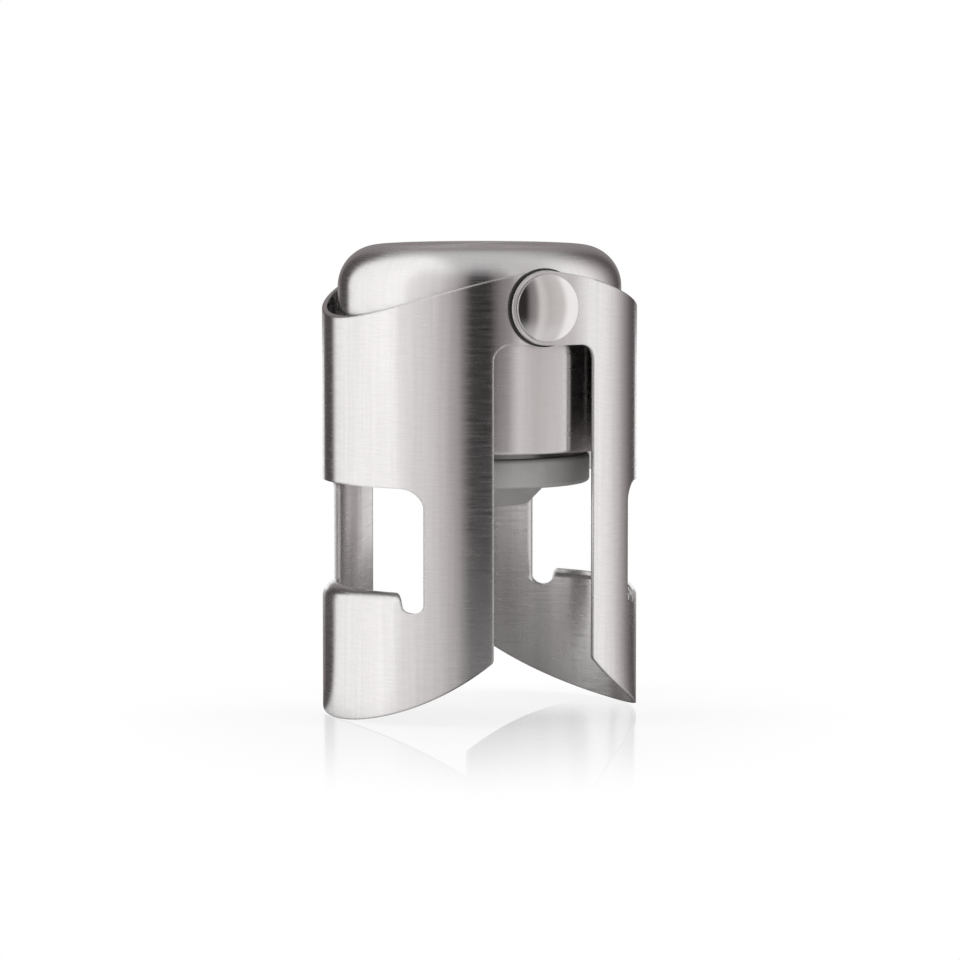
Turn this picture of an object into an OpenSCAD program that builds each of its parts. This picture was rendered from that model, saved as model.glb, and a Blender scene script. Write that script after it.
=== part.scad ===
// Stopper for sparkling wine bottles: a drawn cap, two hinged wings with hooks,
// and a sprung seal that slides inside the cap.
// Z is up, the hinge axis runs along Y, and the wing tips stand on Z = 0.

/* [Cap] */
// Outer diameter of the drawn cap
cap_d = 37.8; // [34:0.1:42]
// Rise of the cap's top above the hinge axis
cap_rise = 7.7; // [6.5:0.1:12]
// Depth of the skirt's edge below the hinge axis
skirt_drop = 19.2; // [16:0.1:22]
// Outer radius of the corner between skirt and top
cap_corner_r = 6.4; // [3:0.1:8]
// Crown of the top at its centre
cap_crown = 0.4; // [0.1:0.1:1]
// Wall of the cap
cap_wall = 0.7; // [0.5:0.05:1]

/* [Wings] */
// Sheet thickness of the wings
sheet_t = 0.65; // [0.5:0.05:0.8]
// Depth of the wing tips below the hinge axis
wing_drop = 54.8; // [50:0.1:62]
// Gap between the cap's skirt and the wings' inner face
wing_gap = 1.45; // [1.4:0.05:2]
// Radius of the round ears about the hinge axis
ear_r = 4.87; // [4.5:0.05:5.5]
// Depth of the top edge at the middle of a wing below the hinge axis
top_edge_drop = 1.8; // [0.5:0.1:4]
// Radius of the arched top edge, seen from the front
top_edge_r = 57; // [40:1:90]
// Width of the slot between the two wings
slot_w = 13.9; // [13:0.1:16]
// Radius of the slot's upper corners
slot_corner_r = 2; // [0.8:0.1:2.6]
// Rise of the bottom edge from a wing's tip to the slot
bottom_rise = 8.75; // [6:0.05:12]
// Radius of the curved bottom edge, seen from the front
bottom_edge_r = 55; // [40:1:90]
// Radius of the bottom corner beside the slot
tip_corner_r = 0.9; // [0.5:0.1:1.5]
// Angle round the cap at which the outer ear's wall leaves the half cylinder
ear_start = 30; // [29:0.5:31]
// Slope of that wall, seen from above
ear_wall_angle = 36; // [35:0.5:38]
// Outer radius of the bend between that wall and the flat ear
ear_bend_r = 4; // [2:0.5:4.5]

/* [Window and hook] */
// Width of the window, measured straight across
window_w = 29.8; // [26:0.1:31]
// Depth of the window's upper edge below the hinge axis
window_top_drop = 23.6; // [21:0.1:26]
// Height of the window, down to the bottom of its relief notches
window_h = 16.3; // [14:0.1:18]
// Radius of the window's upper corners
window_corner_r = 2.6; // [1.5:0.1:4]
// Width of the relief notch beside the hook, measured straight across
notch_w = 2.3; // [1.4:0.1:3]
// Outer bend radius of the hook
hook_bend_r = 2; // [1.4:0.1:2.2]
// Height above the notches' bottom at which the hook begins to bend
hook_rise = 0.45; // [0.1:0.05:0.8]

/* [Hinge rivets] */
// Diameter of the rivet shank
rivet_d = 4; // [3:0.1:5]
// Diameter of the rivet head
rivet_head_d = 8.8; // [7.6:0.1:9.4]
// Height of the head's cylindrical rim
rivet_rim_h = 0.25; // [0.15:0.05:1]
// Height of the head's dome above its rim
rivet_dome_h = 1.15; // [0.6:0.05:1.6]
// Thickness of the dark washer between two ears
spacer_t = 0.37; // [0.3:0.01:0.6]
// Margin of that washer round the ears
spacer_margin = 0.25; // [0.05:0.05:0.25]
// Thickness of the washer between cap and inner ear
inner_washer_t = 0.42; // [0.3:0.01:0.6]
// Outer diameter of that washer
inner_washer_d = 7.8; // [6:0.1:9]
// Thickness of the washer under the rivet's inner end
backing_t = 0.5; // [0.3:0.05:0.8]
// Outer diameter of that washer
backing_d = 6.4; // [5:0.1:7.4]
// Diameter of the rivet's upset inner end
upset_d = 5.8; // [5.2:0.1:6.4]
// Thickness of the rivet's upset inner end
upset_t = 0.7; // [0.4:0.05:1]
// Depth of the small step behind the rivet head
rivet_neck_t = 0.12; // [0.08:0.01:0.2]

/* [Seal] */
// Diameter of the seal's flange
seal_d = 29.4; // [28:0.1:32]
// Thickness of the seal's flange
seal_flange_t = 3.85; // [3:0.05:5]
// Diameter of the seal's plug where it leaves the flange
plug_d = 18.6; // [17:0.1:20]
// Diameter of the plug's end face
plug_end_d = 13; // [11:0.1:15]
// Height of the plug below the flange
plug_h = 2.9; // [2:0.1:6]
// Gap between the skirt's edge and the seal's flange
seal_gap = 1; // [0.6:0.1:2]
// Edge radius of the seal's flange
seal_edge_r = 0.6; // [0.3:0.1:1.2]

/* [Plunger] */
// Travel of the seal
travel = 5; // [3:0.1:5]
// Margin of the seal round the plate on top of it
plate_inset = 0.7; // [0.3:0.1:2]
// Thickness of that plate
plate_t = 1.2; // [0.8:0.1:1.6]
// Diameter of the stem
stem_d = 5; // [4:0.1:6]
// Diameter of the stem's foot, held between plate and seal
foot_d = 10; // [8:0.1:12]
// Thickness of the stem's foot
foot_t = 1.2; // [0.8:0.1:1.6]
// Room that is left in the spring at full travel
spring_slack = 0.1; // [0.1:0.1:1]
// Thickness of the guide plate
guide_t = 0.8; // [0.6:0.05:1.2]
// Height of the guide plate's turned-up rim
guide_rim_h = 2.4; // [1.5:0.1:3]
// Outer diameter of the guide bush
bush_d = 8.4; // [7.4:0.1:10]
// Length of the guide bush
bush_h = 4.6; // [3.5:0.1:5.5]
// Thickness of the flange at the bush's lower end
bush_flange_t = 0.8; // [0.5:0.05:1.2]
// Width of that flange round the bush
bush_flange_w = 1; // [0.6:0.1:2]
// Thickness of the stop washer above the bush
stop_washer_t = 0.5; // [0.3:0.05:0.8]
// Margin of the stop washer round the bush
stop_washer_w = 0.8; // [0.4:0.1:1.5]
// Thickness of the clip in the stem's groove
clip_t = 0.6; // [0.4:0.05:0.8]
// Width of the clip round the stem
clip_w = 2; // [1.4:0.1:2.6]
// Depth of the clip's groove in the stem
groove_depth = 0.6; // [0.4:0.05:0.9]
// Length of the stem above the clip
stem_end_h = 1; // [0.6:0.1:2]
// Thickness of the cup that centres the spring
cup_t = 0.5; // [0.3:0.05:0.7]
// Height of the cup's lip inside the spring
cup_lip_h = 1.6; // [1:0.1:2.4]
// Gap between the lip and the spring
cup_gap = 0.15; // [0.1:0.05:0.4]
// Width of the cup's rim outside the spring
cup_rim_w = 0.5; // [0.3:0.1:1.5]
// Gap between the cup's hole and the stem
cup_bore_gap = 1; // [0.2:0.1:1.5]
// Wire diameter of the spring
wire_d = 1; // [0.8:0.05:1.1]
// Mean diameter of the spring
spring_d = 15; // [13:0.1:18]
// Number of turns of the spring
spring_turns = 4; // [3:0.25:4.25]

/* [Fits] */
// Radial clearance of rivets and stem in their bores
bore_clearance = 0.05; // [0.02:0.01:0.1]
// Axial clearance between faces that turn on each other
run_gap = 0.04; // [0.02:0.01:0.06]

/* [Hidden] */
$fn = 96;

// Heights of the main levels
hinge_z = wing_drop;
cap_top = hinge_z + cap_rise;
skirt_z = hinge_z - skirt_drop;
seal_top = skirt_z - seal_gap;
seal_face = seal_top - seal_flange_t;
plate_top = seal_top + plate_t;
guide_z = plate_top + cup_t + travel + (spring_turns + 1) * wire_d + spring_slack;
bush_z = guide_z - bush_flange_t;
bush_top = bush_z + bush_h;
clip_z = bush_top + stop_washer_t + 2 * run_gap;
stem_top = clip_z + clip_t + stem_end_h;
window_top = hinge_z - window_top_drop;
// Round ends of the relief notches, the height at which the hook's bend begins, and half widths
notch_r = notch_w / 2;
notch_z = window_top - window_h + notch_r;
hook_z = window_top - window_h + hook_rise;
window_half_w = window_w / 2;
hook_half_w = window_half_w - notch_w;

// Radii and hinge stack, from the cap outwards
cap_r = cap_d / 2;
cap_in_r = cap_r - cap_wall;
pad_in = cap_r + inner_washer_t + 2 * run_gap;
pad_out = pad_in + sheet_t;
ear_in = pad_out + spacer_t + 2 * run_gap;
ear_out = ear_in + sheet_t;
head_y = ear_out + run_gap;
wing_in_r = cap_r + wing_gap;
wing_r = wing_in_r + sheet_t;
rivet_bore_d = rivet_d + 2 * bore_clearance;
stem_bore_d = stem_d + 2 * bore_clearance;
foot_bore_d = foot_d + 2 * bore_clearance;
plate_d = seal_d - 2 * plate_inset;
groove_d = stem_d - 2 * groove_depth;

// Margin by which cutting shapes run past what they cut
over = 1;
// Facets of the long, gentle arcs
arc_fn = 720;

// A shape drawn in X and Z, extruded along Y from y0 to y1
module along_y(y0, y1) {
    translate([0, y1, 0]) rotate([90, 0, 0]) linear_extrude(y1 - y0) children();
}

// Centre of an arc of radius r from a to b, with its hollow side on the left of a to b
function arc_centre(a, b, r) =
    let (mid = (a + b) / 2, d = b - a, len = norm(d), h = sqrt(r * r - len * len / 4))
    mid + h * [-d.y, d.x] / len;

// A ring standing with its axis along Y, between y0 and y1
module ring_y(outer_d, bore_d, y0, y1) {
    translate([0, y1, hinge_z]) rotate([90, 0, 0])
        difference() {
            cylinder(d = outer_d, h = y1 - y0);
            translate([0, 0, -over]) cylinder(d = bore_d, h = y1 - y0 + 2 * over);
        }
}

// A flat ring about the Z axis
module ring_z(outer_d, bore_d, z0, h) {
    translate([0, 0, z0])
        difference() {
            cylinder(d = outer_d, h = h);
            translate([0, 0, -over]) cylinder(d = bore_d, h = h + 2 * over);
        }
}

// Cap

// Half section of a crowned cup with a round corner
module cup_half(r, top, corner, bottom) {
    crown_r = cap_r * cap_r / (2 * cap_crown);
    shoulder = top - cap_crown - corner;
    intersection() {
        union() {
            translate([0, bottom]) square([r, shoulder - bottom]);
            translate([0, shoulder - over]) square([r - corner, corner + cap_crown + over]);
            translate([r - corner, shoulder]) circle(corner);
        }
        translate([0, top - crown_r]) circle(crown_r, $fn = arc_fn);
        translate([0, bottom]) square([r, top - bottom]);
    }
}

// Radius of the corner inside the cap, the height at which it begins, and the inside radius above that
inner_corner_r = cap_corner_r - cap_wall;
shoulder_z = cap_top - cap_wall - cap_crown - inner_corner_r;

function inside_r(z) =
    let (rise = max(0, z - shoulder_z))
    cap_in_r - inner_corner_r + sqrt(inner_corner_r * inner_corner_r - rise * rise);

module cap() {
    color([0.74, 0.73, 0.72])
        difference() {
            rotate_extrude() cup_half(cap_r, cap_top, cap_corner_r, skirt_z);
            rotate_extrude() cup_half(cap_in_r, cap_top - cap_wall, inner_corner_r, skirt_z - over);
            translate([0, cap_r + over, hinge_z]) rotate([90, 0, 0])
                cylinder(d = rivet_bore_d, h = 2 * (cap_r + over));
        }
}

// Wings

// Centre of the foot's curve
function foot_centre() = arc_centre([slot_w / 2, bottom_rise], [wing_r, 0], bottom_edge_r);

// Height of the curved foot at a distance x from the middle
function foot_z(x) =
    let (c = foot_centre())
    c.y - sqrt(bottom_edge_r * bottom_edge_r - (x - c.x) * (x - c.x));

// Outline of the right-hand wing in X and Z: leg, arched top, ear and curved foot
module wing_side() {
    slot_x = slot_w / 2;
    slot_top = hinge_z - ear_r;
    top_c = arc_centre([wing_r, hinge_z - top_edge_drop], [0, hinge_z + ear_r], top_edge_r);
    difference() {
        intersection() {
            union() {
                translate([slot_x, -over]) square([wing_r, hinge_z + ear_r + over]);
                translate([0, slot_top]) square([slot_x + over, 2 * ear_r]);
                translate([slot_x - slot_corner_r, slot_top - slot_corner_r])
                    difference() {
                        square(slot_corner_r + over / 2);
                        circle(slot_corner_r);
                    }
            }
            translate(top_c) circle(top_edge_r, $fn = arc_fn);
            translate(foot_centre()) circle(bottom_edge_r, $fn = arc_fn);
        }
        tip_corner();
    }
    translate([0, hinge_z]) circle(ear_r);
}

// What rounding takes off the corner between foot and slot
module tip_corner() {
    slot_x = slot_w / 2;
    // Centre of a circle that touches the slot's edge and the foot's curve from inside
    c = foot_centre();
    x = slot_x + tip_corner_r;
    reach = bottom_edge_r - tip_corner_r;
    z = c.y - sqrt(reach * reach - (x - c.x) * (x - c.x));
    difference() {
        translate([slot_x - over, z - 2 * over]) square([over + tip_corner_r / 2, 2 * over]);
        translate([x, z]) circle(tip_corner_r);
    }
}

// Angle by which the ring runs on inside the outer ear's wall, and flats that make up the ear's bend
ear_lap = 2;
bend_steps = 6;

// Half ring of sheet, between the ends where the two ears leave it
module wing_ring() {
    flat_x = sqrt(wing_r * wing_r - pad_out * pad_out);
    reach = 2 * wing_r;
    difference() {
        circle(wing_r, $fn = 180);
        circle(wing_in_r, $fn = 180);
        translate([-reach, 0]) square([reach + flat_x, reach]);
        translate([-reach, -reach]) square([reach, 2 * reach]);
        rotate(-90) polygon([[0, 0], [reach, 0], reach * [1, tan(ear_start - ear_lap)]]);
    }
}

// Section of the inner ear, behind: flat sheet that leaves the ring where the ring reaches its plane
module inner_ear() {
    mid_r = wing_r - sheet_t / 2;
    flat_x = sqrt(wing_r * wing_r - pad_out * pad_out);
    lap_x = flat_x + sheet_t / 2;
    polygon([[-ear_r, pad_in], [flat_x, pad_in], [lap_x, sqrt(mid_r * mid_r - lap_x * lap_x)],
             [flat_x, pad_out], [-ear_r, pad_out]]);
}

// Section of the outer ear, in front: a straight wall from the ring, a bend, then flat again
module outer_ear() {
    leave = wing_r * [sin(ear_start), -cos(ear_start)];
    wall_dir = [cos(ear_wall_angle), sin(ear_wall_angle)];
    wall_in = [-sin(ear_wall_angle), cos(ear_wall_angle)];
    // Where the wall's outer face would meet the flat ear's, and the centre of the bend between them
    corner_x = leave.x - (ear_out + leave.y) / tan(ear_wall_angle);
    bend_centre = [corner_x - ear_bend_r * tan(ear_wall_angle / 2), -ear_out + ear_bend_r];
    turns = [for (i = [0:bend_steps]) ear_wall_angle * i / bend_steps];
    outside = [for (t = turns) bend_centre + ear_bend_r * [sin(t), -cos(t)]];
    inside = [for (t = turns) bend_centre + (ear_bend_r - sheet_t) * [sin(t), -cos(t)]];
    polygon(concat([[-ear_r, -ear_out]], outside,
                   [leave + sheet_t * wall_dir, leave + 0.9 * sheet_t * wall_in],
                   [for (i = [bend_steps:-1:0]) inside[i]], [[-ear_r, -ear_in]]));
}

// The bent sheet before its outline is cut
module wing_shell() {
    h = hinge_z + 2 * ear_r;
    linear_extrude(h) wing_ring();
    linear_extrude(h) inner_ear();
    linear_extrude(h) outer_ear();
}

// A shape drawn in Y and Z, cut through the wing along X
module through_x() {
    rotate([90, 0, 90]) linear_extrude(2 * wing_r) children();
}

// Half of the window's outline in Y and Z, with a relief notch beside the hook
module window_half_outline() {
    corner_y = window_half_w - window_corner_r;
    notch_y = window_half_w - notch_r;
    translate([-over, notch_z]) square([over + corner_y, window_top - notch_z]);
    translate([-over, notch_z]) square([over + window_half_w, window_top - window_corner_r - notch_z]);
    translate([corner_y, window_top - window_corner_r]) circle(window_corner_r);
    translate([notch_y, notch_z]) circle(notch_r);
    translate([-over, hook_z]) square([over + notch_y, notch_z + over - hook_z]);
}

// Hook: the sheet below the window, turned inwards through a quarter circle
module hook() {
    bend_centre = [wing_r - hook_bend_r, hook_z];
    root_inset = sheet_t / 5;
    sweep = 140;
    intersection() {
        rotate([0, 0, -sweep / 2])
            rotate_extrude(angle = sweep, $fn = 180) {
                difference() {
                    intersection() {
                        translate(bend_centre) circle(hook_bend_r);
                        translate(bend_centre) square(hook_bend_r);
                    }
                    translate(bend_centre) circle(hook_bend_r - sheet_t);
                }
                translate([wing_in_r + root_inset, hook_z - sheet_t])
                    square([sheet_t - 2 * root_inset, 2 * sheet_t]);
            }
        translate([0, -hook_half_w, 0]) cube([2 * wing_r, 2 * hook_half_w, hinge_z]);
    }
}

// The right-hand wing; the left-hand one is the same piece turned half round
module wing() {
    difference() {
        intersection() {
            wing_shell();
            along_y(-2 * wing_r, 2 * wing_r) wing_side();
        }
        through_x() window_half_outline();
        through_x() mirror([1, 0]) window_half_outline();
        translate([0, 2 * wing_r, hinge_z]) rotate([90, 0, 0])
            cylinder(d = rivet_bore_d, h = 4 * wing_r);
    }
    hook();
}

module right_wing() {
    color([0.70, 0.70, 0.70]) wing();
}

module left_wing() {
    color([0.66, 0.66, 0.66]) rotate([0, 0, 180]) wing();
}

// Hinge hardware

// Distance of the backing washer's outer face from the axis, clear of the curved skirt and the cap's corner
backing_y = min([for (t = [0:15:90])
    let (x = backing_d / 2 * sin(t), r = inside_r(hinge_z + backing_d / 2 * cos(t)))
    sqrt(r * r - x * x)]) - run_gap;

// Rivet on the front side: domed head outside, upset end inside the cap
module rivet() {
    head_r = rivet_head_d / 2;
    end_y = backing_y - backing_t - upset_t;
    dome_r = (head_r * head_r + rivet_dome_h * rivet_dome_h) / (2 * rivet_dome_h);
    rim_y = head_y + rivet_neck_t + rivet_rim_h;
    color([0.80, 0.79, 0.78])
        translate([0, 0, hinge_z]) rotate([90, 0, 0])
            rotate_extrude() {
                translate([0, end_y]) square([rivet_d / 2, head_y - end_y + rivet_neck_t]);
                translate([0, end_y]) square([upset_d / 2, upset_t]);
                translate([0, head_y]) square([head_r - 2 * rivet_neck_t, rivet_neck_t]);
                translate([0, head_y + rivet_neck_t]) square([head_r, rivet_rim_h]);
                intersection() {
                    translate([0, rim_y + rivet_dome_h - dome_r]) circle(dome_r, $fn = 240);
                    translate([0, rim_y]) square([head_r, rivet_dome_h]);
                }
            }
}

module front_rivet() { rivet(); }
module rear_rivet() { rotate([0, 0, 180]) rivet(); }

module spacer_washer() {
    color([0.13, 0.12, 0.12])
        ring_y(2 * (ear_r + spacer_margin), rivet_bore_d, -pad_out - run_gap - spacer_t, -pad_out - run_gap);
}

module front_spacer_washer() { spacer_washer(); }
module rear_spacer_washer() { rotate([0, 0, 180]) spacer_washer(); }

module inner_washer() {
    color([0.85, 0.84, 0.80])
        ring_y(inner_washer_d, rivet_bore_d, -cap_r - run_gap - inner_washer_t, -cap_r - run_gap);
}

module front_inner_washer() { inner_washer(); }
module rear_inner_washer() { rotate([0, 0, 180]) inner_washer(); }

module backing_washer() {
    color([0.62, 0.62, 0.62])
        ring_y(backing_d, rivet_bore_d, -backing_y, -backing_y + backing_t);
}

module front_backing_washer() { backing_washer(); }
module rear_backing_washer() { rotate([0, 0, 180]) backing_washer(); }

// Seal and plunger

// Silicone seal: flange with round edges, conical plug and a pocket for the stem's foot
module seal() {
    color([0.55, 0.54, 0.52])
        difference() {
            rotate_extrude() {
                translate([0, seal_face]) square([seal_d / 2 - seal_edge_r, seal_flange_t]);
                translate([0, seal_face + seal_edge_r])
                    square([seal_d / 2, seal_flange_t - 2 * seal_edge_r]);
                for (z = [seal_face + seal_edge_r, seal_top - seal_edge_r])
                    translate([seal_d / 2 - seal_edge_r, z]) circle(seal_edge_r);
                polygon([[0, seal_face - plug_h], [plug_end_d / 2, seal_face - plug_h],
                         [plug_d / 2, seal_face], [0, seal_face]]);
            }
            translate([0, 0, seal_top - foot_t]) cylinder(d = foot_bore_d, h = foot_t + over);
        }
}

module seal_plate() {
    color([0.22, 0.22, 0.23]) ring_z(plate_d, stem_bore_d, seal_top, plate_t);
}

// Stem with its foot below the plate and a groove for the clip
module stem() {
    color([0.72, 0.72, 0.72])
        difference() {
            union() {
                translate([0, 0, seal_top - foot_t]) cylinder(d = foot_d, h = foot_t);
                translate([0, 0, seal_top - foot_t]) cylinder(d = stem_d, h = stem_top - seal_top + foot_t);
            }
            ring_z(stem_d + 2 * over, groove_d, clip_z - run_gap, clip_t + 2 * run_gap);
        }
}

// Clip in the stem's groove, open on one side
module stem_clip() {
    clip_d = stem_d + 2 * clip_w;
    mouth = groove_d - 2 * bore_clearance;
    color([0.35, 0.35, 0.36])
        difference() {
            ring_z(clip_d, groove_d + 2 * bore_clearance, clip_z, clip_t);
            translate([0, -mouth / 2, clip_z - over]) cube([clip_d, mouth, clip_t + 2 * over]);
        }
}

module stop_washer() {
    color([0.78, 0.77, 0.75])
        ring_z(bush_d + 2 * stop_washer_w, stem_bore_d, bush_top + run_gap, stop_washer_t);
}

// Pressed cup that centres the spring on the plate
module spring_cup() {
    lip_d = spring_d - wire_d - 2 * cup_gap;
    color([0.68, 0.68, 0.68]) {
        ring_z(spring_d + wire_d + 2 * cup_rim_w, stem_d + 2 * cup_bore_gap, plate_top, cup_t);
        ring_z(lip_d, lip_d - 2 * cup_t, plate_top, cup_lip_h);
    }
}

// Compression spring, swept along a helix whose first and last half turns lie flat
module spring() {
    sides = 8;
    steps = 24;
    wire_r = wire_d / 2;
    z0 = plate_top + cup_t + wire_r + run_gap;
    z1 = guide_z - wire_r - run_gap;
    n = round(spring_turns * steps);
    flat = 0.5 / spring_turns;
    function rise(u) = min(1, max(0, (u - flat) / (1 - 2 * flat)));
    function coil_point(i, j) =
        let (a = 360 * i / steps, b = 360 * j / sides, r = spring_d / 2 + wire_r * cos(b))
        [r * cos(a), r * sin(a), z0 + (z1 - z0) * rise(i / n) + wire_r * sin(b)];
    points = [for (i = [0:n], j = [0:sides - 1]) coil_point(i, j)];
    walls = [for (i = [0:n - 1], j = [0:sides - 1])
        let (k = (j + 1) % sides)
        [i * sides + j, i * sides + k, (i + 1) * sides + k, (i + 1) * sides + j]];
    ends = [[for (j = [sides - 1:-1:0]) j], [for (j = [0:sides - 1]) n * sides + j]];
    color([0.60, 0.60, 0.61]) polyhedron(points, concat(walls, ends));
}

// Guide plate pressed into the cap, with a turned-up rim
module guide_plate() {
    rim_r = cap_in_r - run_gap;
    color([0.64, 0.64, 0.64])
        difference() {
            translate([0, 0, guide_z]) cylinder(r = rim_r, h = guide_rim_h);
            translate([0, 0, guide_z + guide_t]) cylinder(r = rim_r - guide_t, h = guide_rim_h);
            translate([0, 0, guide_z - over])
                cylinder(d = bush_d + 2 * bore_clearance, h = 2 * over + guide_t);
        }
}

// Plastic bush in the guide plate
module guide_bush() {
    color([0.90, 0.89, 0.86])
        difference() {
            union() {
                translate([0, 0, bush_z]) cylinder(d = bush_d, h = bush_h);
                translate([0, 0, bush_z])
                    cylinder(d = bush_d + 2 * bush_flange_w, h = bush_flange_t - run_gap);
            }
            translate([0, 0, bush_z - over]) cylinder(d = stem_bore_d, h = bush_h + 2 * over);
        }
}

cap();
left_wing();
right_wing();
front_rivet();
rear_rivet();
front_spacer_washer();
rear_spacer_washer();
front_inner_washer();
rear_inner_washer();
front_backing_washer();
rear_backing_washer();
seal();
seal_plate();
stem();
stem_clip();
stop_washer();
spring_cup();
spring();
guide_plate();
guide_bush();
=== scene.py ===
import math

import bmesh
import bpy
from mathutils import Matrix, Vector


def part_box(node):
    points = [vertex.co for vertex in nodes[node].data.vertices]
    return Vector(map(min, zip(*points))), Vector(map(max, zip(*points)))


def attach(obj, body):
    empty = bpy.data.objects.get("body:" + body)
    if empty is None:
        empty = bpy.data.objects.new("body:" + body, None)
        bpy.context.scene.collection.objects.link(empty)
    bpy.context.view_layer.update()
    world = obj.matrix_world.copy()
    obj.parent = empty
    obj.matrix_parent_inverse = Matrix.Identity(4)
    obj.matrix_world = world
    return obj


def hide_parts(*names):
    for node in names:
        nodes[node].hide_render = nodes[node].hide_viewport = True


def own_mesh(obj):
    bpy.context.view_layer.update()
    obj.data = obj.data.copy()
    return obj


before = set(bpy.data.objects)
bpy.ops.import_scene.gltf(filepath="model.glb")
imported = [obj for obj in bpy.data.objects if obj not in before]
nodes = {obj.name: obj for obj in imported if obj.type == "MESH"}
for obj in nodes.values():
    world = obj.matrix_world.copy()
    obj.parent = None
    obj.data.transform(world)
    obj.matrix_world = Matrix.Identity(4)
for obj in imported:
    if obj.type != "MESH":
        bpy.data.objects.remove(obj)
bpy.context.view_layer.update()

# Driving dimensions, in metres
HINGE_Z = 0.0548
WING_R = 0.021
NOTCH_Y = 0.01375
NOTCH_Z = 0.01605
NOTCH_R = 0.00115
HOOK_TOP = 0.01735
HOOK_TIP_R = 0.019
CAP_R = 0.0189
CAP_TOP = 0.0625
CAP_CORNER = 0.0055
CAP_CROWN = 0.0004
CAP_WALL = 0.0007
SKIRT_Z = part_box("cap")[0][2]

# How far a notch widens round the wing, in radians for each metre of depth
FLARE = math.radians(6.1) / (WING_R - HOOK_TIP_R)
# How far a cutter reaches past the sheet
CLEAR = 0.0003

# Camera, fitted to the photograph
IMAGE_PX = 960
CAMERA_AZIMUTH = -24.43
CAMERA_DISTANCE = 0.6585
CAMERA_HEIGHT = 0.0869
CAMERA_PITCH = 4.94
FOCAL_PX = 4941
SENSOR_MM = 36
CENTRE_PX = (479.5, 486.2)

# Light tent: azimuth from the camera's side in degrees, positive to the right, and brightness.
# Two softboxes with dark gaps between them
TENT = (
    (-180, 0.27), (-166, 0.25), (-156, 0.09), (-137, 0.08), (-130, 1.04), (-100, 1.10),
    (-74, 1.16), (-64, 1.14), (-60, 0.95), (-32, 0.72), (-15, 0.38), (-7, 0.03), (8, 0.02),
    (12, 0.17), (16, 0.26), (23, 0.30), (31, 0.73), (38, 0.66), (46, 0.56), (60, 0.64),
    (70, 0.66), (80, 1.00), (98, 1.02), (110, 0.90), (120, 0.67), (131, 0.37), (143, 0.15),
    (154, 0.08), (168, 0.25), (180, 0.27),
)
TENT_R = 0.17
TENT_WALL = 0.06
LID_RIGHT = 0.64
LID_LEFT = 1.12
# What a cylinder mirrors close by lies less far round than what it mirrors far off
PULL = 0.009
# The tent's share of the table lies just under the floor
TABLE_Z = -0.0005
FLOOR_REACH = 3.0
# Radius that keeps a lathe's middle open
TINY = 0.0001

scene = bpy.context.scene


# Node helpers

def fill(tree, node, **values):
    """Gives a node's inputs, by name, constants or links from other nodes' outputs."""
    for key, value in values.items():
        plug(tree, node.inputs[key.replace("_", " ")], value)


def plug(tree, socket, value):
    if isinstance(value, bpy.types.NodeSocket):
        tree.links.new(value, socket)
    else:
        socket.default_value = value


def add(tree, kind, **values):
    """Adds a node and sets its properties and, by name, its inputs."""
    node = tree.nodes.new(kind)
    for key, value in values.items():
        if hasattr(node, key):
            setattr(node, key, value)
        else:
            fill(tree, node, **{key: value})
    return node


def number(tree, operation, *values):
    """Output of a Math node, on numbers and sockets."""
    node = add(tree, "ShaderNodeMath", operation=operation)
    for socket, value in zip(node.inputs, values):
        plug(tree, socket, value)
    return node.outputs[0]


def vector(tree, operation, *values):
    """Output of a Vector Math node, which for a length or a dot product is a number."""
    node = add(tree, "ShaderNodeVectorMath", operation=operation)
    for socket, value in zip(node.inputs, values):
        plug(tree, socket, value)
    return node.outputs["Value" if operation in ("LENGTH", "DOT_PRODUCT") else "Vector"]


def mix_colours(tree, share, first, second, blend="MIX"):
    node = add(tree, "ShaderNodeMix", data_type="RGBA", blend_type=blend)
    for place, value in ((0, share), (6, first), (7, second)):
        plug(tree, node.inputs[place], value)
    return node.outputs[2]


def mix_shaders(tree, share, first, second):
    node = add(tree, "ShaderNodeMixShader")
    for socket, value in zip(node.inputs, (share, first, second)):
        tree.links.new(value, socket)
    return node.outputs[0]


def grey(level):
    return (level, level, level, 1)


def own_place(tree):
    """The object's own coordinates."""
    return add(tree, "ShaderNodeTexCoord").outputs["Object"]


def split_place(tree, place):
    return add(tree, "ShaderNodeSeparateXYZ", Vector=place).outputs


def from_axis(tree, place):
    """The part of a place that lies square to the axis."""
    return vector(tree, "MULTIPLY", place, (1, 1, 0))


def smooth_range(tree, value, low, high, start=0.0, end=1.0):
    return add(tree, "ShaderNodeMapRange", interpolation_type="SMOOTHSTEP", Value=value,
               From_Min=low, From_Max=high, To_Min=start, To_Max=end).outputs["Result"]


def spread(tree, value, low, high):
    """Maps the middle of a noise to a range of values."""
    return add(tree, "ShaderNodeMapRange", Value=value,
               From_Min=0.3, From_Max=0.7, To_Min=low, To_Max=high).outputs["Result"]


def tint(tree, value, dark, light):
    """Mixes two colours by a noise."""
    ramp = add(tree, "ShaderNodeValToRGB", Fac=value)
    for element, position, colour in zip(ramp.color_ramp.elements, (0.35, 0.65), (dark, light)):
        element.position = position
        element.color = (*colour, 1)
    return ramp.outputs["Color"]


def around_noise(tree, around, along, detail, roughness):
    """Noise in streaks round the cap's axis, which run as rings where a face lies flat."""
    place = own_place(tree)
    x, y, z = split_place(tree, place)
    turns = number(tree, "MULTIPLY", number(tree, "ARCTAN2", y, x), around)
    level = number(tree, "SUBTRACT", z, vector(tree, "LENGTH", from_axis(tree, place)))
    streaks = add(tree, "ShaderNodeCombineXYZ", X=turns, Y=number(tree, "MULTIPLY", level, along))
    return add(tree, "ShaderNodeTexNoise", Vector=streaks.outputs[0], Scale=1.0,
               Detail=detail, Roughness=roughness).outputs["Fac"]


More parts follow.
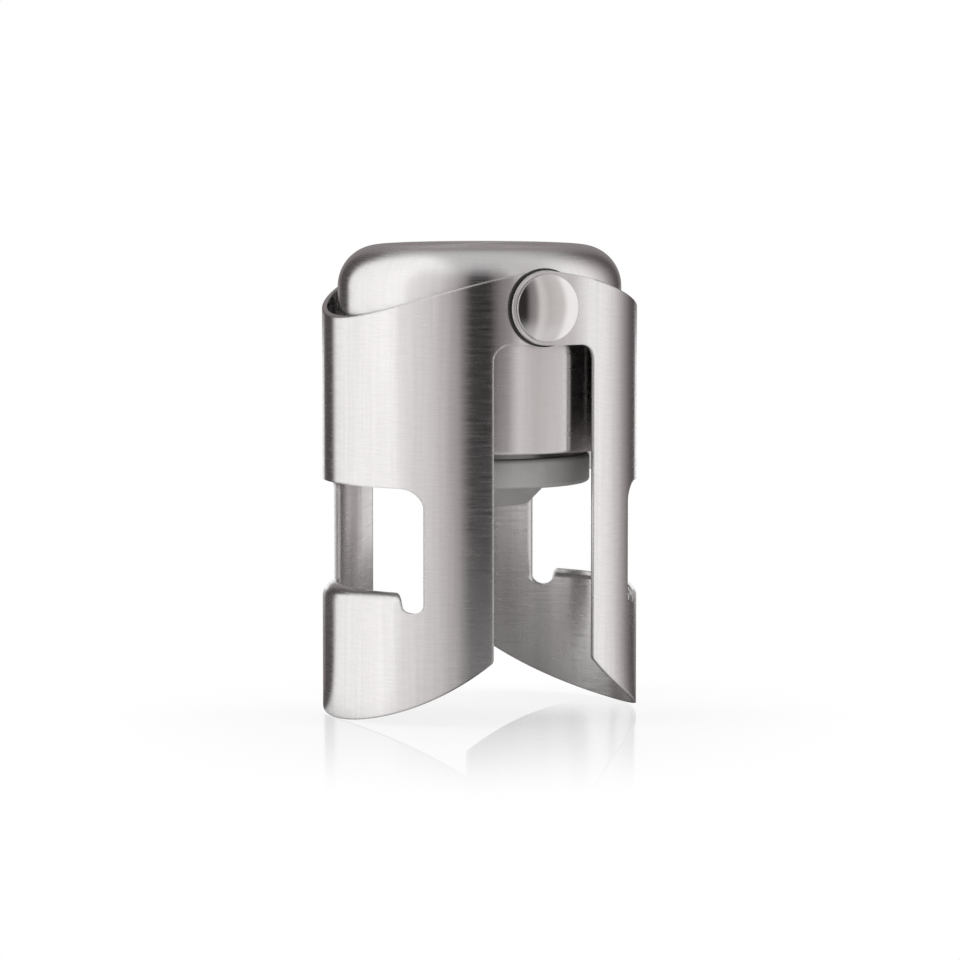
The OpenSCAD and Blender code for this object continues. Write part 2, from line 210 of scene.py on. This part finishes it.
def even_noise(tree, scale, detail, roughness):
    """Noise that is alike in all directions."""
    mapping = add(tree, "ShaderNodeMapping", Vector=own_place(tree), Scale=(scale, scale, scale))
    return add(tree, "ShaderNodeTexNoise", Vector=mapping.outputs[0], Scale=1.0,
               Detail=detail, Roughness=roughness).outputs["Fac"]


def bump(tree, height, strength, distance, **inputs):
    return add(tree, "ShaderNodeBump", Height=height, Strength=strength, Distance=distance,
               **inputs).outputs["Normal"]


def rolled_edge(tree, radius):
    """Normals that round the edges, which catch the light as thin bright lines."""
    return add(tree, "ShaderNodeBevel", samples=6, Radius=radius).outputs[0]


def rolled_normal(tree, normal):
    """Turns the walls' normals to the axis: rolled sheet curves softly where the solid has flats."""
    outward = vector(tree, "NORMALIZE", from_axis(tree, own_place(tree)))
    world = add(tree, "ShaderNodeVectorTransform", vector_type="NORMAL", convert_from="OBJECT",
                convert_to="WORLD", Vector=outward).outputs[0]
    facing = vector(tree, "DOT_PRODUCT", normal, world)
    turned = add(tree, "ShaderNodeVectorMath", operation="SCALE")
    plug(tree, turned.inputs[0], world)
    plug(tree, turned.inputs["Scale"], number(tree, "SIGN", facing))
    wall = smooth_range(tree, number(tree, "ABSOLUTE", facing), 0.84, 0.88)
    mix = add(tree, "ShaderNodeMix", data_type="VECTOR")
    for place, value in ((0, wall), (4, normal), (5, turned.outputs[0])):
        plug(tree, mix.inputs[place], value)
    return vector(tree, "NORMALIZE", mix.outputs[1])


# Materials

def new_material(name):
    material = bpy.data.materials.new(name)
    material.use_nodes = True
    tree = material.node_tree
    return material, tree, tree.nodes["Principled BSDF"]


def brushed_steel(name, dark, light, streak, rolled=True):
    """Sheet steel with fine streaks round the cap's axis, which blur reflections up and down."""
    material, tree, shader = new_material(name)
    streaks = around_noise(tree, 7.0, 3600.0, 4.0, 0.75)
    grain = around_noise(tree, 4.0, 2400.0, 3.0, 0.6)
    bands = around_noise(tree, 26.0, 45.0, 3.0, 0.6)
    worn = tint(tree, streaks, (streak, streak, streak), (1.0, 1.0, 1.0))
    normal = rolled_edge(tree, 0.0006)
    if rolled:
        normal = rolled_normal(tree, normal)
    tangent = add(tree, "ShaderNodeTangent", direction_type="RADIAL", axis="Z")
    fill(tree, shader, Metallic=1.0, Anisotropic=0.88, Anisotropic_Rotation=0.25,
         Base_Color=mix_colours(tree, 1.0, tint(tree, bands, dark, light), worn, "MULTIPLY"),
         Roughness=spread(tree, grain, 0.18, 0.29),
         Normal=bump(tree, streaks, 0.3, 0.00001, Normal=normal),
         Tangent=tangent.outputs[0])
    return material


def polished_steel(name, dark, light, rough, scratch):
    """Bright steel with faint turning marks and a little haze."""
    material, tree, shader = new_material(name)
    marks = around_noise(tree, 2.0, 5000.0, 4.0, 0.6)
    haze = even_noise(tree, 110, 4.0, 0.6)
    fill(tree, shader, Metallic=1.0,
         Base_Color=tint(tree, haze, dark, light),
         Roughness=spread(tree, haze, rough, rough + 0.05),
         Normal=bump(tree, marks, scratch, 0.00001, Normal=rolled_edge(tree, 0.00025)))
    return material


def silicone(name):
    """Matte grey silicone with a fine moulded skin and a trace of dust."""
    material, tree, shader = new_material(name)
    skin = even_noise(tree, 2600, 3.0, 0.5)
    dust = even_noise(tree, 180, 5.0, 0.65)
    fill(tree, shader, Subsurface_Weight=0.05, Subsurface_Radius=(0.001, 0.001, 0.001),
         Base_Color=tint(tree, dust, (0.30, 0.293, 0.285), (0.34, 0.333, 0.325)),
         Roughness=spread(tree, dust, 0.52, 0.68),
         Normal=bump(tree, skin, 0.12, 0.00003))
    return material


def plastic(name, dark, light, rough):
    """Moulded or punched plastic with a soft sheen."""
    material, tree, shader = new_material(name)
    cloud = even_noise(tree, 900, 4.0, 0.6)
    fill(tree, shader,
         Base_Color=tint(tree, cloud, dark, light),
         Roughness=spread(tree, cloud, rough - 0.05, rough + 0.05),
         Normal=bump(tree, cloud, 0.1, 0.00002, Normal=rolled_edge(tree, 0.0002)))
    return material


def dress():
    """Gives every node its material."""
    wing = brushed_steel("wing_steel", (0.77, 0.76, 0.755), (0.82, 0.81, 0.805), 0.94)
    cap = brushed_steel("cap_steel", (0.79, 0.78, 0.775), (0.82, 0.81, 0.805), 0.97, rolled=False)
    head = polished_steel("rivet_steel", (0.78, 0.77, 0.76), (0.84, 0.83, 0.82), 0.13, 0.05)
    plain = polished_steel("plain_steel", (0.52, 0.52, 0.52), (0.60, 0.60, 0.60), 0.28, 0.2)
    dark = polished_steel("dark_steel", (0.30, 0.295, 0.29), (0.38, 0.375, 0.37), 0.35, 0.2)
    wire = polished_steel("spring_steel", (0.36, 0.36, 0.37), (0.44, 0.44, 0.45), 0.25, 0.2)
    # The spacer washers are black plastic; their black also stands in for the shade in the gap between
    # the ears, a painted shade.
    black = plastic("dark_washer", (0.012, 0.011, 0.011), (0.02, 0.018, 0.018), 0.25)
    white = plastic("white_plastic", (0.70, 0.69, 0.65), (0.78, 0.77, 0.73), 0.45)
    for material, names in (
        (wing, ("left_wing", "right_wing")),
        (cap, ("cap",)),
        (head, ("front_rivet", "rear_rivet")),
        (plain, ("front_backing_washer", "rear_backing_washer", "stem", "stop_washer",
                 "spring_cup", "guide_plate")),
        (dark, ("seal_plate",)),
        (wire, ("spring", "stem_clip")),
        (black, ("front_spacer_washer", "rear_spacer_washer")),
        (white, ("front_inner_washer", "rear_inner_washer", "guide_bush")),
        (silicone("silicone"), ("seal",)),
    ):
        for name in names:
            nodes[name].data.materials.clear()
            nodes[name].data.materials.append(material)


# Shapes

def new_object(name, data):
    thing = bpy.data.objects.new(name, data)
    scene.collection.objects.link(thing)
    return thing


def arc(centre, r, start, end, steps):
    """Points of an arc in radius and height, between two angles in degrees."""
    points = []
    for i in range(steps + 1):
        angle = math.radians(start + (end - start) * i / steps)
        points.append((centre[0] + r * math.cos(angle), centre[1] + r * math.sin(angle)))
    return points


def lathe(name, profile, steps=96):
    """Surface of revolution about Z, from (radius, height) pairs."""
    points = []
    faces = []
    for r, z in profile:
        for i in range(steps):
            angle = math.tau * i / steps
            points.append((r * math.cos(angle), r * math.sin(angle), z))
    for row in range(len(profile) - 1):
        for i in range(steps):
            j = (i + 1) % steps
            below, above = row * steps, (row + 1) * steps
            faces.append((below + i, below + j, above + j, above + i))
    mesh = bpy.data.meshes.new(name)
    mesh.from_pydata(points, [], faces)
    return new_object(name, mesh)


def face_outwards(mesh):
    """Joins doubled points and turns the faces outwards."""
    body = bmesh.new()
    body.from_mesh(mesh)
    bmesh.ops.remove_doubles(body, verts=body.verts, dist=1e-7)
    bmesh.ops.recalc_face_normals(body, faces=body.faces)
    body.to_mesh(mesh)
    body.free()


def mark_edges(mesh, degrees=30):
    """Smooth shading that keeps the edges sharper than an angle."""
    sheet = bmesh.new()
    sheet.from_mesh(mesh)
    bmesh.ops.remove_doubles(sheet, verts=sheet.verts, dist=1e-6)
    for edge in sheet.edges:
        edge.smooth = len(edge.link_faces) == 2 and edge.calc_face_angle(0) < math.radians(degrees)
    for face in sheet.faces:
        face.smooth = True
    sheet.to_mesh(mesh)
    sheet.free()


def round_edges(thing, width):
    bevel = thing.modifiers.new("edges", "BEVEL")
    bevel.width = width
    bevel.segments = 2
    bevel.limit_method = "ANGLE"
    bevel.angle_limit = math.radians(40)


def soften_edges():
    """Rounds the edges of the nodes that show, which catch the light as thin bright lines."""
    for name in ("front_rivet", "rear_rivet", "seal_plate"):
        round_edges(nodes[name], 0.0001)


def cup_profile(inset, edge):
    """Half section from the crown's middle down to the skirt's edge, with a corner tangent to both."""
    r, top, corner = CAP_R - inset, CAP_TOP - inset, CAP_CORNER - inset
    crown_r = CAP_R * CAP_R / (2 * CAP_CROWN)
    crown_z = top - crown_r
    corner_z = crown_z + math.sqrt((crown_r - corner) ** 2 - (r - corner) ** 2)
    lean = math.degrees(math.atan2(corner_z - crown_z, r - corner))
    crown = arc((0, crown_z), crown_r, 90, lean, 12)
    crown[0] = (0.0, top)
    return crown + arc((r - corner, corner_z), corner, lean, 0, 24)[1:] + [(r, SKIRT_Z + edge)]


def build_cap():
    """Drawn cap with its smooth crown and full corner, which the CAD node has at a larger radius."""
    edge = CAP_WALL * 0.4
    lip = arc((CAP_R - edge, SKIRT_Z + edge), edge, 0, -90, 4)[1:]
    lip += arc((CAP_R - CAP_WALL + edge, SKIRT_Z + edge), edge, -90, -180, 4)[:-1]
    profile = cup_profile(0, edge) + lip + cup_profile(CAP_WALL, edge)[::-1]
    shell = lathe("cap_shell", profile, 160)
    face_outwards(shell.data)
    shell.data.shade_smooth()
    shell.data.materials.append(nodes["cap"].data.materials[0])
    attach(shell, "cap_body")
    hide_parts("cap")


def notch_cutter(side, end):
    """Body of a relief notch, cut square to the sheet and wider towards the hook's tip."""
    outline = [(NOTCH_Y - NOTCH_R - 0.00002, HOOK_TOP + CLEAR)]
    outline += arc((NOTCH_Y, NOTCH_Z), NOTCH_R, 180, 360, 16)
    outline += [(NOTCH_Y + NOTCH_R, HOOK_TOP + CLEAR)]
    points = []
    for r in (WING_R + CLEAR, HOOK_TIP_R - 2 * CLEAR):
        for y, z in outline:
            angle = math.asin(min(y, NOTCH_Y + NOTCH_R - 0.0001) / WING_R)
            if y < NOTCH_Y:
                angle -= FLARE * (WING_R - r) * (NOTCH_Y - y) / NOTCH_R
            points.append((side * r * math.cos(angle), end * r * math.sin(angle), z))
    count = len(outline)
    faces = [tuple(range(count)), tuple(range(2 * count - 1, count - 1, -1))]
    faces += [(i, i + count, (i + 1) % count + count, (i + 1) % count) for i in range(count)]
    mesh = bpy.data.meshes.new("notch")
    mesh.from_pydata(points, [], faces)
    face_outwards(mesh)
    return new_object("notch", mesh)


def build_wings():
    """The wings with the hooks' ends cut back as the photograph shows."""
    for name, side in (("left_wing", -1), ("right_wing", 1)):
        wing = new_object(name + "_sheet", nodes[name].data.copy())
        mark_edges(wing.data)
        cutters = [notch_cutter(side, end) for end in (-1, 1)]
        for cutter in cutters:
            cut = wing.modifiers.new("notch", "BOOLEAN")
            cut.operation = "DIFFERENCE"
            cut.solver = "EXACT"
            cut.object = cutter
        graph = bpy.context.evaluated_depsgraph_get()
        mesh = bpy.data.meshes.new_from_object(wing.evaluated_get(graph))
        wing.modifiers.clear()
        wing.data = mesh
        for cutter in cutters:
            bpy.data.objects.remove(cutter)
        mark_edges(mesh)
        round_edges(wing, 0.00012)
        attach(wing, name + "_body")
        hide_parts(name)


def build_spring():
    """Spring as a mesh of its own, attached to the plunger's body; its top lies under the guide plate.
    """
    coil = new_object("spring_coil", nodes["spring"].data.copy())
    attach(coil, "plunger")
    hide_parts("spring")
    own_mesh(coil)


# Stage

def direction(azimuth):
    """Level unit vector towards an azimuth counted from the camera's side, positive to the right."""
    angle = math.radians(CAMERA_AZIMUTH + azimuth)
    return Vector((math.sin(angle), -math.cos(angle), 0))


def lamp(name, azimuth, distance, width, height, z, power):
    """Soft area light for the matte surfaces; what the steel mirrors is the tent."""
    light = bpy.data.lights.new(name, "AREA")
    light.shape = "RECTANGLE"
    light.size = width
    light.size_y = height
    light.energy = power
    holder = new_object(name, light)
    holder.location = direction(azimuth) * distance + Vector((0, 0, z))
    towards = Vector((0, 0, HINGE_Z * 0.6)) - holder.location
    holder.rotation_euler = towards.to_track_quat("-Z", "Y").to_euler()
    holder.visible_glossy = False
    holder.visible_camera = False


def tent_light(tree):
    """The tent's colour by azimuth, and the place it is taken at."""
    place = own_place(tree)
    split = split_place(tree, place)
    azimuth = number(tree, "ARCTAN2", split["X"], number(tree, "MULTIPLY", split["Y"], -1.0))
    pull = number(tree, "ADD", number(tree, "DIVIDE", PULL, vector(tree, "LENGTH", place)), 1.0)
    share = add(tree, "ShaderNodeMapRange", From_Min=-math.pi, From_Max=math.pi,
                Value=number(tree, "MULTIPLY", azimuth, pull))
    ramp = add(tree, "ShaderNodeValToRGB", Fac=share.outputs["Result"])
    elements = ramp.color_ramp.elements
    elements.remove(elements[-1])
    for i, (degrees, level) in enumerate(TENT):
        position = (degrees + 180) / 360
        element = elements[0] if i == 0 else elements.new(position)
        element.position = position
        warmth = 0.015 + 0.13 * (1 - min(1, level))
        element.color = (level, level * (1 - warmth), level * (1 - warmth * 0.95), 1)
    return ramp.outputs["Color"], place


def wall_light(tree):
    """Walls by azimuth, under a lid that is brighter on the left."""
    colour, place = tent_light(tree)
    x, y, z = split_place(tree, place)
    side = smooth_range(tree, x, -0.075, -0.03)
    lid = mix_colours(tree, side, grey(LID_LEFT), grey(LID_RIGHT))
    dome = mix_colours(tree, smooth_range(tree, z, 0.15, 0.23), colour, lid)
    # White panel low at the back, for the table's own reflection
    low = smooth_range(tree, z, 0.036, 0.046, 1.0, 0.0)
    near = smooth_range(tree, number(tree, "ABSOLUTE", x), 0.068, 0.085, 1.0, 0.0)
    back = number(tree, "GREATER_THAN", y, 0.0)
    panel = number(tree, "MULTIPLY", number(tree, "MULTIPLY", low, near), back)
    return mix_colours(tree, panel, dome, grey(1))


def table_light(tree):
    """The table mirrors the tent, is lit in front of the object and lies in its shade close by."""
    colour, place = tent_light(tree)
    distance = vector(tree, "LENGTH", place)
    near = smooth_range(tree, distance, 0.05, 0.17, 0.5, 0.0)
    front = smooth_range(tree, split_place(tree, place)["Y"], -0.05, -0.025, 1.0, 0.0)
    lit = mix_colours(tree, number(tree, "MULTIPLY", near, front), colour, grey(0.8))
    return mix_colours(tree, smooth_range(tree, distance, 0.01, 0.035), grey(0.12), lit)


def mirrored(name, profile, light):
    """Turned body that only glossy rays meet: it glows by light(tree), and neither shows nor shades."""
    material = bpy.data.materials.new(name)
    material.use_nodes = True
    tree = material.node_tree
    tree.nodes.remove(tree.nodes["Principled BSDF"])
    emission = add(tree, "ShaderNodeEmission", Color=light(tree))
    fill(tree, tree.nodes["Material Output"], Surface=emission.outputs[0])
    thing = lathe(name, profile)
    thing.data.materials.append(material)
    thing.visible_camera = False
    thing.visible_diffuse = False
    thing.visible_transmission = False
    thing.visible_volume_scatter = False
    thing.visible_shadow = False
    thing.rotation_euler = (0, 0, math.radians(CAMERA_AZIMUTH))


def build_tent():
    """Walls and lid above the object, and the tent's share of the table below it."""
    dome = arc((TINY, TENT_WALL), TENT_R, 0, 90, 16)
    mirrored("tent_walls", [(TENT_R, 0)] + dome, wall_light)
    table = [(r, TABLE_Z) for r in (TINY, 0.05, TENT_R + 2 * TINY)]
    mirrored("tent_table", table, table_light)


def floor_material():
    """White that keeps the object's shadow and, close to it, a faint reflection that fades out."""
    material, tree, shader = new_material("floor")
    place = own_place(tree)
    fill(tree, shader, Base_Color=grey(0.95), Roughness=1.0, Specular_IOR_Level=0.0)
    clean = smooth_range(tree, vector(tree, "LENGTH", place), 0.015, 0.06, 0.86, 1.0)
    seen = add(tree, "ShaderNodeLightPath").outputs["Is Camera Ray"]
    white = add(tree, "ShaderNodeEmission").outputs[0]
    table = mix_shaders(tree, number(tree, "MULTIPLY", seen, clean), shader.outputs[0], white)
    oval = vector(tree, "LENGTH", vector(tree, "MULTIPLY", place, (1.5, 1, 0)))
    front = smooth_range(tree, split_place(tree, place)["Y"], -0.012, 0.012, 1.0, 0.0)
    ahead = number(tree, "MULTIPLY", smooth_range(tree, oval, 0.01, 0.085, 0.8, 0.0), front)
    fresnel = add(tree, "ShaderNodeFresnel", IOR=1.3).outputs[0]
    mirror = add(tree, "ShaderNodeBsdfGlossy", Roughness=0.01).outputs[0]
    both = mix_shaders(tree, number(tree, "MULTIPLY", fresnel, ahead), table, mirror)
    fill(tree, tree.nodes["Material Output"], Surface=both)
    return material


def build_floor():
    mesh = bpy.data.meshes.new("floor")
    corners = [(x * FLOOR_REACH, y * FLOOR_REACH, 0) for x, y in ((-1, -1), (1, -1), (1, 1), (-1, 1))]
    mesh.from_pydata(corners, [], [(0, 1, 2, 3)])
    mesh.materials.append(floor_material())
    floor = new_object("floor", mesh)
    floor.visible_glossy = False
    floor.rotation_euler = (0, 0, math.radians(CAMERA_AZIMUTH))


def build_world():
    """White where it is seen or mirrored, and a little darker as light."""
    world = bpy.data.worlds.new("studio")
    scene.world = world
    world.use_nodes = True
    tree = world.node_tree
    path = add(tree, "ShaderNodeLightPath").outputs
    either = number(tree, "MAXIMUM", path["Is Camera Ray"], path["Is Glossy Ray"])
    fill(tree, tree.nodes["Background"], Color=mix_colours(tree, either, grey(0.75), grey(1)))


def build_lights():
    lamp("left_lamp", -75, 0.8, 0.5, 0.6, 0.5, 4.0)
    lamp("right_lamp", 70, 0.8, 0.5, 0.6, 0.5, 3.0)
    lamp("front_lamp", 6, 0.9, 0.9, 0.2, 0.08, 2.5)


def build_camera():
    data = bpy.data.cameras.new("camera")
    camera = new_object("camera", data)
    data.sensor_width = SENSOR_MM
    data.lens = FOCAL_PX / IMAGE_PX * SENSOR_MM
    data.shift_x = (IMAGE_PX / 2 - CENTRE_PX[0]) / IMAGE_PX
    data.shift_y = (CENTRE_PX[1] - IMAGE_PX / 2) / IMAGE_PX
    data.clip_start = 0.01
    data.clip_end = 20
    camera.location = direction(0) * CAMERA_DISTANCE + Vector((0, 0, CAMERA_HEIGHT))
    camera.rotation_euler = (math.radians(90 - CAMERA_PITCH), 0, math.radians(CAMERA_AZIMUTH))
    scene.camera = camera


build_camera()
build_world()
build_floor()
build_tent()
build_lights()
dress()
soften_edges()
build_cap()
build_wings()
build_spring()

scene.view_settings.view_transform = "Standard"
